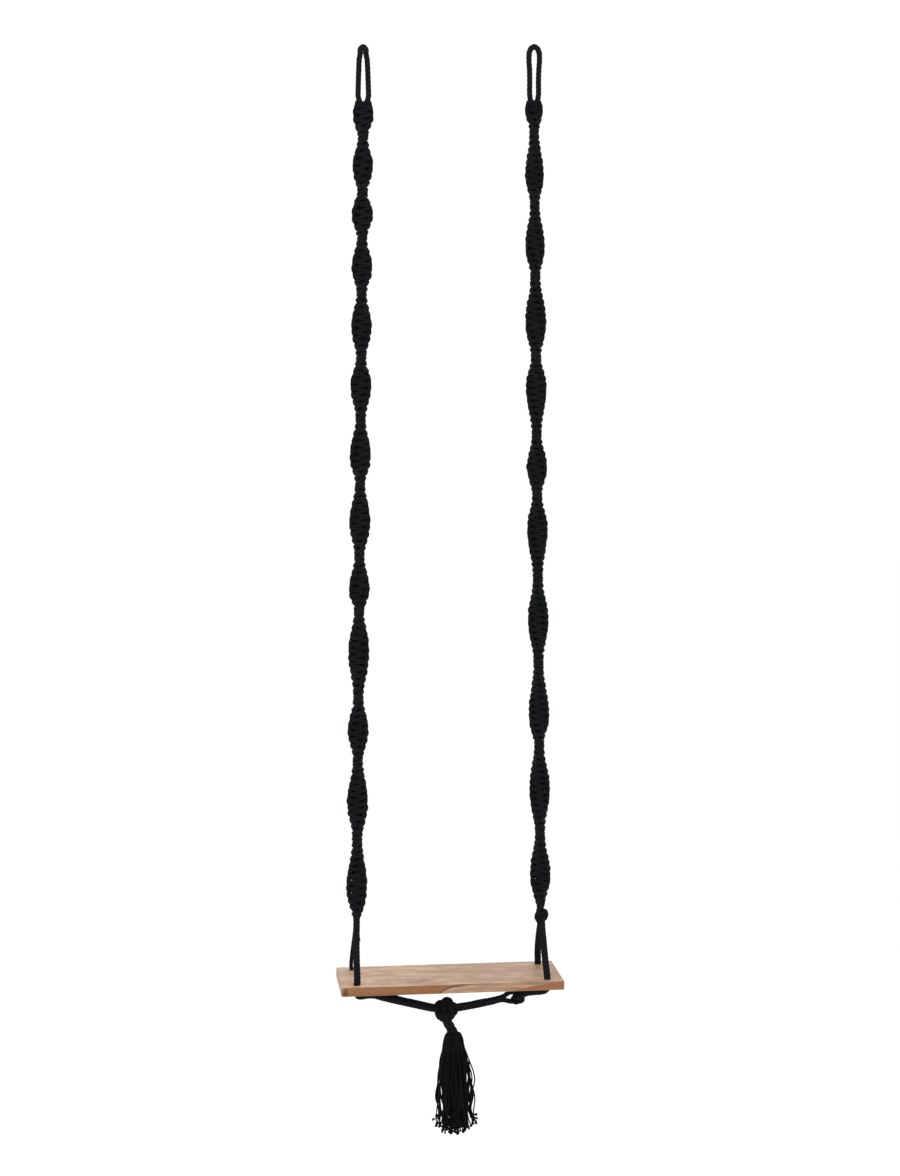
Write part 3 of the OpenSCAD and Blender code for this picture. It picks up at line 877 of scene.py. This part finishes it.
def smooth_route(points, step=0.0022):
    """The points joined by one smooth line, with a point about every step.

    The points are in millimetres, and the step and the line in metres.
    """
    stops = np.array(points, float) / 1000
    length = np.linalg.norm(np.diff(stops, axis=0), axis=1)
    at = np.concatenate([[0], np.cumsum(length)])
    slope = np.gradient(stops, at, axis=0)
    fine = np.linspace(0, at[-1], max(2, round(at[-1] / step)) + 1)
    cell = np.clip(np.searchsorted(at, fine, side="right") - 1, 0, len(length) - 1)
    reach = length[cell][:, None]
    t = (fine - at[cell])[:, None] / reach
    start, end = stops[cell], stops[cell + 1]
    leave, arrive = slope[cell] * reach, slope[cell + 1] * reach
    return (
        start * (2 * t**3 - 3 * t**2 + 1) + end * (3 * t**2 - 2 * t**3)
        + leave * (t**3 - 2 * t**2 + t) + arrive * (t**3 - t**2)
    )


def wire_object(name, lines, **numbers):
    """An object of open lines, with numbers kept on their points."""
    mesh = bpy.data.meshes.new(name)
    points = np.concatenate(lines)
    edges, first = [], 0
    for line in lines:
        edges += [(i, i + 1) for i in range(first, first + len(line) - 1)]
        first += len(line)
    mesh.from_pydata(points.tolist(), edges, [])
    for label, values in {"thickness": np.ones(len(points)), **numbers}.items():
        attribute = mesh.attributes.new(label, "FLOAT", "POINT")
        attribute.data.foreach_set("value", np.asarray(values, np.float32))
    made = bpy.data.objects.new(name, mesh)
    bpy.context.scene.collection.objects.link(made)
    return made


def grow(wires, tree, transform=None, **inputs):
    """Runs a geometry tree on the wires and leaves its result as a plain mesh object."""
    modifier = wires.modifiers.new("grow", "NODES")
    modifier.node_group = tree
    sockets = {s.name: s.identifier for s in tree.interface.items_tree if s.in_out == "INPUT"}
    for label, value in inputs.items():
        modifier[sockets[label.replace("_", " ").title()]] = value
    wires.update_tag()
    seen = bpy.context.evaluated_depsgraph_get()
    mesh = bpy.data.meshes.new_from_object(wires.evaluated_get(seen), preserve_all_data_layers=True, depsgraph=seen)
    wires.modifiers.remove(modifier)
    if transform is not None:
        mesh.transform(transform)
    if not len(mesh.polygons):
        raise RuntimeError(f"{wires.name} came out empty")
    mesh.name = wires.name
    old = wires.data
    wires.data = mesh
    bpy.data.meshes.remove(old)
    return wires


def laid_cord(name, lines, diameter, kind="laid_cotton_cord", sides=18, ply_depth=0.04, thickness=None):
    """A laid cotton cord along one or more lines."""
    extra = {} if thickness is None else {"thickness": thickness}
    lay_length, plies, _, _ = CORD_FINISHES[kind]
    return grow(
        wire_object(name, lines, **extra), tree_named("Laid Cord"),
        cord_radius=diameter / 2, sides=sides, plies=plies, lay_length=lay_length,
        ply_depth=diameter * ply_depth, material=cord_paint(kind),
    )


def wound_knot(name, at, ring, winding, cord_radius, scale=(1, 1, 1), turn=(0, 0, 0), rounds=2.0, windings=3.0):
    """A round knot of cord, with its middle at a point."""
    turned = Matrix.Rotation(turn[2], 4, "Z") @ Matrix.Rotation(turn[1], 4, "Y") @ Matrix.Rotation(turn[0], 4, "X")
    placed = Matrix.Translation(at) @ Matrix.Diagonal((*scale, 1)) @ turned
    seed_line = np.array([at, at], float) + [[0, 0, 0], [0, 0, 0.001]]
    return grow(
        wire_object(name, [seed_line]), tree_named("Wound Knot"), placed,
        ring_radius=ring, winding_radius=winding, rounds=rounds, windings=windings, points=150, sides=12,
        cord_radius=cord_radius, lay_length=0.02, ply_depth=cord_radius * 0.14,
        material=cord_paint("knotted_cotton_cord"),
    )


def centre(node):
    """The middle of a node's box."""
    low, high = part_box(node)
    return np.array((low + high) / 2)


def band_middle(side, z):
    """Where the middle of a band is at a height."""
    top, low = centre(f"{side}_top_knot"), centre(f"{side}_tie_knot")
    share = (COLLAR_HINGE_Z - z) / (COLLAR_HINGE_Z - low[2])
    return top[0] + (low[0] - top[0]) * share


def band_turn(side, z):
    """How far a band has turned at a height."""
    heights = np.array(TURN_HEIGHTS[side]) / 1000
    count = len(heights)
    at = np.concatenate([[heights[-1] - TURN_RUN_ON], heights[::-1], [heights[0] + TURN_RUN_ON]])
    quarters = np.concatenate([[count - 1 + TURN_AFTER], np.arange(count)[::-1], [TURN_BEFORE[side]]])
    quarter = np.interp(z, at, quarters)
    quarter = quarter + TURN_HASTE * np.sin(math.pi * quarter)
    return SIDES[side] * math.pi / 2 * quarter - math.radians(FACE_TURNS[side])


# ---------------------------------------------------------------- operators


class SWING_OT_stage(bpy.types.Operator):
    """Set up the camera, the pale floor and the soft light"""

    bl_idname = "swing.stage"
    bl_label = "Stage"

    def execute(self, context):
        settings = context.scene.swing.stage
        lens = bpy.data.cameras.new("camera")
        lens.lens = settings.focal_length
        lens.sensor_width = 36
        lens.clip_end = 60
        camera = bpy.data.objects.new("camera", lens)
        camera.location = settings.camera_at
        camera.rotation_euler = (settings.camera_tilt, 0, settings.camera_turn)
        context.scene.collection.objects.link(camera)
        context.scene.camera = camera
        context.scene.view_settings.view_transform = "Standard"

        reach = 30
        mesh = bpy.data.meshes.new("floor")
        corners = [(-reach, -reach), (reach, -reach), (reach, reach), (-reach, reach)]
        mesh.from_pydata([(a, b, settings.floor_z) for a, b in corners], [], [(0, 1, 2, 3)])
        floor = bpy.data.objects.new("floor", mesh)
        context.scene.collection.objects.link(floor)
        paint, tree, shader = new_material("pale_floor")
        place = add_node(tree, "ShaderNodeTexCoord").outputs["Object"]
        connect(tree, noise(tree, place, Scale=3.0) * 0.05 + 0.88, shader.inputs["Roughness"])
        shader.inputs["Base Color"].default_value = (0.985, 0.985, 0.985, 1)
        mesh.materials.append(paint)

        world = bpy.data.worlds.new("soft_room")
        world.use_nodes = True
        glow = world.node_tree.nodes["Background"]
        glow.inputs["Color"].default_value = (1, 1, 1, 1)
        glow.inputs["Strength"].default_value = 1.03
        context.scene.world = world
        for name, at, size, power in LIGHTS:
            lamp = bpy.data.lights.new(name, "AREA")
            lamp.size = size
            lamp.energy = power
            light = bpy.data.objects.new(name, lamp)
            aim = np.array(LIGHTS_AIM) - np.array(at)
            light.matrix_world = Matrix.Translation(at) @ look_along(aim)
            context.scene.collection.objects.link(light)
        return {"FINISHED"}


def look_along(direction):
    """The turn that points a light's -Z along a direction."""
    return Vector(direction).to_track_quat("-Z", "Y").to_matrix().to_4x4()


class SWING_OT_loops(bpy.types.Operator):
    """Bend the two hanging loops"""

    bl_idname = "swing.loops"
    bl_label = "Hanging Loops"

    def execute(self, context):
        diameter = context.scene.swing.cord.loop_diameter
        for side, route in LOOP_ROUTES.items():
            middle = centre(f"{side}_eye")[0] * 1000
            line = smooth_route([(middle + across, 0, z) for across, z in route], 0.0016)
            swell = 1 + LOOP_TOP_SWELL[side] * np.clip((line[:, 2] - LOOP_SWELL_FROM) / LOOP_SWELL_WITHIN, 0, 1)
            loop = laid_cord(f"{side}_hanging_loop", [line], diameter, thickness=swell)
            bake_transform(loop)
            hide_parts(f"{side}_eye", f"{side}_loop")
        return {"FINISHED"}


class SWING_OT_legs(bpy.types.Operator):
    """Lead the four cords through the seat to the knots under it"""

    bl_idname = "swing.legs"
    bl_label = "Leg Cords"

    def execute(self, context):
        sizes = context.scene.swing.cord
        for name, route in LEG_ROUTES.items():
            diameter = sizes.thin_leg_diameter if name == "left_back_cord" else sizes.leg_diameter
            line = smooth_route(route)
            lump = LUMP_SWELL if name == "left_front_cord" else 0
            bump = 1 + lump * np.exp(-(((line[:, 2] - LUMP_Z) / LUMP_REACH) ** 2))
            leg = laid_cord(f"{name}_laid", [line], diameter, thickness=bump)
            if name.startswith("left"):
                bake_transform(leg)
            else:
                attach(leg, "seat")
            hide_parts(name)
        return {"FINISHED"}


class SWING_OT_yoke(bpy.types.Operator):
    """Run the two strands from the small knot to the middle knot, and tie both knots"""

    bl_idname = "swing.yoke"
    bl_label = "Yoke and Lower Knots"

    def execute(self, context):
        sizes = context.scene.swing.cord
        for name, route in YOKE_ROUTES.items():
            line = smooth_route(route)
            strand = laid_cord(name, [line], sizes.yoke_diameter)
            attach(strand, "seat")
            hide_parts("right_yoke")
        small = wound_knot(
            "small_knot_tied", centre("right_small_knot") + [0.003, 0, -0.0015], ring=0.0060, winding=0.0038,
            cord_radius=0.0044, scale=(1.12, 1, 0.98), turn=(1.3, 0.4, 0),
        )
        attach(small, "seat")
        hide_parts("right_small_knot")
        low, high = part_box("middle_knot")
        at = ((low.x + high.x) / 2 + 0.0015, 0, high.z - 0.0235)
        middle = wound_knot(
            "middle_knot_tied", at, ring=0.0120, winding=0.0074, cord_radius=0.0074, scale=(1.04, 0.92, 0.98),
            turn=(1.35, 0.3, 0.3), rounds=3.0, windings=4.0,
        )
        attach(middle, "seat")
        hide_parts("middle_knot")
        tails = [smooth_route(route) for route in TAIL_ROUTES]
        loose = laid_cord("middle_knot_tails", tails, TAIL_DIAMETER, kind="knotted_cotton_cord")
        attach(loose, "seat")
        return {"FINISHED"}


class SWING_OT_bands(bpy.types.Operator):
    """Knot the two long twisting bands over their core cords"""

    bl_idname = "swing.bands"
    bl_label = "Knotted Bands"

    def execute(self, context):
        sizes = context.scene.swing.band
        for side in SIDES:
            pitch = sizes.left_pitch if side == "left" else sizes.right_pitch
            top_z, low_z = BAND_ENDS[side]
            knots = round((top_z - low_z) / pitch / 2) * 2
            middle_knot = knots // 2
            for part, first, last in (("upper", 0, middle_knot), ("lower", middle_knot, knots)):
                self.make_part(side, part, first, last, knots, sizes)
        return {"FINISHED"}

    def make_part(self, side, part, first, last, knots, sizes):
        """One end of a band: its two knotting cords and the core strands in it."""
        top_z, low_z = BAND_ENDS[side]
        number = np.linspace(first, last, (last - first) * 2 + 1)
        z = top_z + (low_z - top_z) * number / knots
        line = np.stack([band_middle(side, z), np.zeros_like(z), z], axis=1)
        turn = band_turn(side, z)
        fullness = np.interp(number / knots, *BAND_FULLNESS[side])
        low_stops = [knots - stop for stop in FULLNESS_AT_BOTTOM[0]]
        shares = FULLNESS_AT_TOP[1] + FULLNESS_AT_BOTTOM[1]
        fullness = fullness * np.interp(number, FULLNESS_AT_TOP[0] + low_stops, shares)
        for letter, face in (("a", 1.0), ("b", -1.0)):
            cord = grow(
                wire_object(f"{side}_{part}_knotting_cord_{letter}", [line], knot=number, turn=turn, fullness=fullness),
                tree_named("Knotted Band"),
                points=(last - first) * sizes.points_per_knot + 1, half_width=sizes.half_width,
                front_reach=sizes.front_reach, side_return=sizes.side_return, bar_slant=sizes.bar_slant,
                side_swell=sizes.side_swell, face=face, cord_radius=sizes.cord_radius, sides=10,
                lay_length=CORD_FINISHES["knotted_cotton_cord"][0], seed=float(SIDES[side] + 2),
                fibres=int(sizes.fibres_per_metre * (line[0][2] - line[-1][2])),
                material=cord_paint("knotted_cotton_cord"),
            )
            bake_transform(cord)
            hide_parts(f"{side}_knotting_cord_{letter}", *([f"{side}_top_knot"] if part == "upper" else []))
            if part == "lower" and side == "left":
                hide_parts("left_tie_knot")
        fine = smooth_route(line * 1000, 0.006)
        angle = band_turn(side, fine[:, 2])
        outward = np.stack([np.cos(angle), np.sin(angle), np.zeros_like(angle)], axis=1)
        strands = [fine + s * CORE_OFFSET * outward for s in (-1, 1)]
        core = laid_cord(f"{side}_{part}_core", strands, CORE_DIAMETER, sides=10, ply_depth=0)
        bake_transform(core)
        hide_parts(f"{side}_core_cord")


class SWING_OT_tie_off(bpy.types.Operator):
    """Tie the right rope's ends together above the seat"""

    bl_idname = "swing.tie_off"
    bl_label = "Tie-off Knot"

    def execute(self, context):
        knot = wound_knot(
            "right_tie_off", centre("right_tie_knot") + [0.0012, 0, -0.0062], ring=0.0064, winding=0.0042,
            cord_radius=0.0050, scale=(1, 1, 1.3), turn=(1.45, 0.2, 0.2),
        )
        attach(knot, "right_knot")
        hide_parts("right_tie_knot")
        return {"FINISHED"}


class SWING_OT_seat(bpy.types.Operator):
    """Cut the wooden seat with its eased edges and four cord holes"""

    bl_idname = "swing.seat"
    bl_label = "Seat"

    def execute(self, context):
        sizes = context.scene.swing.seat
        low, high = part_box("seat_plank")
        ease = sizes.edge_ease
        steps = [(ease, 0), (ease * 0.3, ease * 0.3), (0, ease)]
        levels = [(inset, high.z - drop) for inset, drop in steps]
        levels += [(inset, low.z + drop) for inset, drop in steps[::-1]]
        shape = bmesh.new()
        outer = [self.ring(shape, self.outline(low, high, inset, sizes.corner_radius), z) for inset, z in levels]
        self.skin(shape, outer)
        rings = [outer]
        for sx in (-1, 1):
            for sy in (-1, 1):
                x, y = sx * sizes.hole_across, sy * sizes.hole_deep
                hole = [self.ring(shape, self.circle(x, y, sizes.hole_radius + inset * 0.8), z) for inset, z in levels]
                self.skin(shape, hole)
                rings.append(hole)
        for end in (0, -1):
            edges = [e for ring in rings for e in self.loop_edges(ring[end])]
            bmesh.ops.triangle_fill(shape, edges=edges, use_beauty=True, use_dissolve=False)
        bmesh.ops.recalc_face_normals(shape, faces=shape.faces)
        mesh = bpy.data.meshes.new("seat_plank_wood")
        shape.to_mesh(mesh)
        shape.free()
        mesh.materials.append(wood_material(context.scene.swing.colour))
        plank = bpy.data.objects.new("seat_plank_wood", mesh)
        context.scene.collection.objects.link(plank)
        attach(plank, "seat")
        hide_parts("seat_plank")
        return {"FINISHED"}

    def outline(self, low, high, inset, radius):
        """The plank's outline, drawn in by inset."""
        points, turn_steps, along_steps = [], 5, 24
        corners = [(high.x, high.y, 0), (low.x, high.y, 90), (low.x, low.y, 180), (high.x, low.y, 270)]
        for x, y, start in corners:
            sx, sy = (1 if x > 0 else -1), (1 if y > 0 else -1)
            cx, cy = x - sx * radius, y - sy * radius
            for k in range(turn_steps + 1):
                a = math.radians(start + 90 * k / turn_steps)
                points.append((cx + (radius - inset) * math.cos(a), cy + (radius - inset) * math.sin(a)))
        filled = []
        for (ax, ay), (bx, by) in zip(points, points[1:] + points[:1]):
            filled.append((ax, ay))
            parts = along_steps if math.hypot(bx - ax, by - ay) > 0.02 else 1
            for k in range(1, parts):
                t = k / parts
                worn = EDGE_WEAR * math.sin(ax * 900 + ay * 400 + k * 1.7) * math.sin(k * 0.9 + ax * 50)
                x, y = ax + (bx - ax) * t, ay + (by - ay) * t
                if abs(bx - ax) > abs(by - ay):
                    y += (worn + EDGE_DRAW_IN) * (1 if ay < 0 else -1)
                else:
                    x += worn - EDGE_DRAW_IN
                filled.append((x, y))
        return filled

    def circle(self, x, y, radius):
        """A hole's edge."""
        angles = [math.tau * k / HOLE_SIDES for k in range(HOLE_SIDES)]
        return [(x + radius * math.cos(a), y + radius * math.sin(a)) for a in angles]

    def ring(self, shape, points, z):
        """Points of one outline at a height."""
        return [shape.verts.new((x, y, z)) for x, y in points]

    def loop_edges(self, ring):
        """The edges round one outline."""
        pairs = zip(ring, ring[1:] + ring[:1])
        return [next(edge for edge in a.link_edges if edge.other_vert(a) == b) for a, b in pairs]

    def skin(self, shape, rings):
        """Faces between outlines, one above the next."""
        for upper, lower in zip(rings, rings[1:]):
            n = len(upper)
            for k in range(n):
                shape.faces.new((upper[k], upper[(k + 1) % n], lower[(k + 1) % n], lower[k]))


class SWING_OT_tassel(bpy.types.Operator):
    """Hang the tassel: its twisted neck, its crown and its knotted strands"""

    bl_idname = "swing.tassel"
    bl_label = "Tassel"

    def execute(self, context):
        sizes = context.scene.swing.tassel
        self.make_neck(context.scene.swing.cord.neck_radius)
        random = np.random.default_rng(STRAND_SEED)
        outer, inner, core = (
            [self.cord_lines(random, sizes, number, count, share) for number in range(count)]
            for count, share in TASSEL_LAYERS
        )
        for name, cords, node, knot_share in (
            ("tassel_outer_strands", outer, "tassel_outer_cords", 1.0),
            ("tassel_inner_strands", inner + core, "tassel_inner_cords", 0.9),
        ):
            lines = [line for cord in cords for line in cord]
            strands = grow(
                wire_object(name, lines), tree_named("Tassel Strands"),
                strand_radius=sizes.strand_radius, sides=6, knot_radius=sizes.end_knot_radius * knot_share, seed=4,
                material=cord_paint("tassel_cotton_yarn"),
            )
            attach(strands, "tassel")
            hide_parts(node, "tassel_end_knots")
        crown = self.make_crown()
        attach(crown, "tassel")
        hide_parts("tassel_crown")
        return {"FINISHED"}

    def make_neck(self, radius):
        """Two lengths of a thick twisted neck, cut apart at one height."""
        whole = smooth_route(NECK_ROUTE, 0.001)
        cut = int(np.argmin(np.abs(whole[:, 2] - NECK_CUT_Z)))
        for name, line, bodies, hinge in (
            ("neck_upper", whole[: cut + 1], ("seat", "neck"), NECK_TOP_AT),
            ("neck_lower", whole[cut:], ("neck", "tassel"), NECK_LOW_AT),
        ):
            turns = 2 * math.pi * np.linalg.norm(line - whole[0], axis=1) / NECK_TWIST_LENGTH
            strands = []
            for k in range(4):
                a = turns + k * math.pi / 2
                strands.append(line + radius * 0.5 * np.stack([np.cos(a), np.sin(a), np.zeros_like(a)], axis=1))
            neck = laid_cord(name, strands, radius * 1.04, sides=12)
            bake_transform(neck)
            if name == "neck_upper":
                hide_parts("tassel_neck")

    def cord_lines(self, random, sizes, number, count, share):
        """The strands of one tassel cord, over the crown and down to uneven ends."""
        angle = math.tau * (number + 0.5) / count
        low_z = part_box("tassel_outer_cords")[0].z * 1000
        is_outer = share > 0.9
        crown_share = 0.97 if is_outer else 0.6 if share else 0.2
        lines = []
        for _ in range(sizes.strands_per_cord if share else sizes.strands_per_cord * 2):
            turn = angle + random.uniform(-0.5, 0.5) * (math.tau / count) * (1.0 if share else 6.2)
            top = sizes.crown_radius * crown_share * random.uniform(0.94, 1.02)
            loose = is_outer and random.random() < 0.5
            skirt_share = (0.8, 1.04) if loose else (0.46, 0.6) if is_outer else (0.12, 0.46)
            skirt = sizes.skirt_radius * random.uniform(*skirt_share)
            end = low_z + random.uniform(-5, 20) + (random.uniform(6, 16) if loose else 0)
            drift = random.uniform(-0.1, 0.1)
            out = random.uniform(0, 5) if loose else random.uniform(-1, 5)
            bow = random.uniform(-4.2, 4.2) if loose else random.uniform(-1.5, 1.5)
            top, skirt = top * 1000, skirt * 1000
            spread = skirt - top
            profile = [
                (2.6, -1971), (top * 0.34, -1971 - (1 - share) * 5), (top * 0.58, -1973.6 - (1 - share) * 4),
                (top * 0.74, -1980), (top * 0.85, -1989), (top * 0.94, -2001), (top + spread * 0.4, -2028),
                (top + spread * 0.74 + bow, -2062), (top + spread * 0.88 - bow * 0.7, -2104),
                (skirt * 0.96 + bow * 0.6, -2146), (skirt + out, end),
            ]
            points = []
            for step, (reach, z) in enumerate(profile):
                wander = random.normal(0, 0.25 if step < 6 else 1.9 if loose else 0.8, 2)
                a = turn + drift * step / len(profile)
                middle_x = NECK_LOW_AT[0] * 1000 + max(0, -1990 - z) * 0.018
                points.append((middle_x + reach * math.cos(a) + wander[0], reach * math.sin(a) + wander[1], z))
            lines.append(smooth_route(points, 0.006))
        return lines

    def make_crown(self):
        """A ribbed dome of packed strands under the crown."""
        around = 96
        line = smooth_route([(r, 0, z) for r, z in CROWN_PROFILE], 0.002)
        points, faces = [], []
        for r, _, z in line:
            for k in range(around):
                a = math.tau * k / around
                ribbed = r - CROWN_RIB_DEPTH * (0.5 + 0.5 * math.cos(a * CROWN_RIBS)) * min(1, r / 0.01)
                points.append((NECK_LOW_AT[0] + ribbed * math.cos(a), ribbed * math.sin(a), z))
        for i in range(len(line) - 1):
            for k in range(around):
                a, b = i * around + k, i * around + (k + 1) % around
                faces.append((a, a + around, b + around, b))
        faces.append(tuple(range(around)))
        faces.append(tuple((len(line) - 1) * around + k for k in range(around - 1, -1, -1)))
        mesh = bpy.data.meshes.new("tassel_crown_packed")
        mesh.from_pydata(points, [], faces)
        shape = bmesh.new()
        shape.from_mesh(mesh)
        bmesh.ops.recalc_face_normals(shape, faces=shape.faces)
        for face in shape.faces:
            face.smooth = True
        shape.to_mesh(mesh)
        shape.free()
        mesh.materials.append(cord_paint("tassel_cotton_yarn"))
        crown = bpy.data.objects.new("tassel_crown_packed", mesh)
        bpy.context.scene.collection.objects.link(crown)
        return crown


class SWING_PT_panel(bpy.types.Panel):
    """Lists the swing's pieces"""

    bl_label = "Knotted Rope Swing"
    bl_idname = "SWING_PT_panel"
    bl_space_type = "VIEW_3D"
    bl_region_type = "UI"
    bl_category = "Swing"

    def draw(self, context):
        for operator in OPERATORS:
            self.layout.operator(operator.bl_idname)


OPERATORS = (
    SWING_OT_stage, SWING_OT_loops, SWING_OT_legs, SWING_OT_yoke, SWING_OT_bands,
    SWING_OT_tie_off, SWING_OT_seat, SWING_OT_tassel,
)
CLASSES = (
    SwingBandSettings, SwingCordSettings, SwingSeatSettings, SwingTasselSettings,
    SwingColourSettings, SwingStageSettings, SwingSettings, *OPERATORS, SWING_PT_panel,
)


def register():
    for cls in CLASSES:
        bpy.utils.register_class(cls)
    bpy.types.Scene.swing = PointerProperty(type=SwingSettings)


def unregister():
    del bpy.types.Scene.swing
    for cls in reversed(CLASSES):
        bpy.utils.unregister_class(cls)


def main():
    """Makes every piece in order."""
    register()
    for operator in OPERATORS:
        group, action = operator.bl_idname.split(".")
        getattr(getattr(bpy.ops, group), action)()


if __name__ == "__main__":
    main()
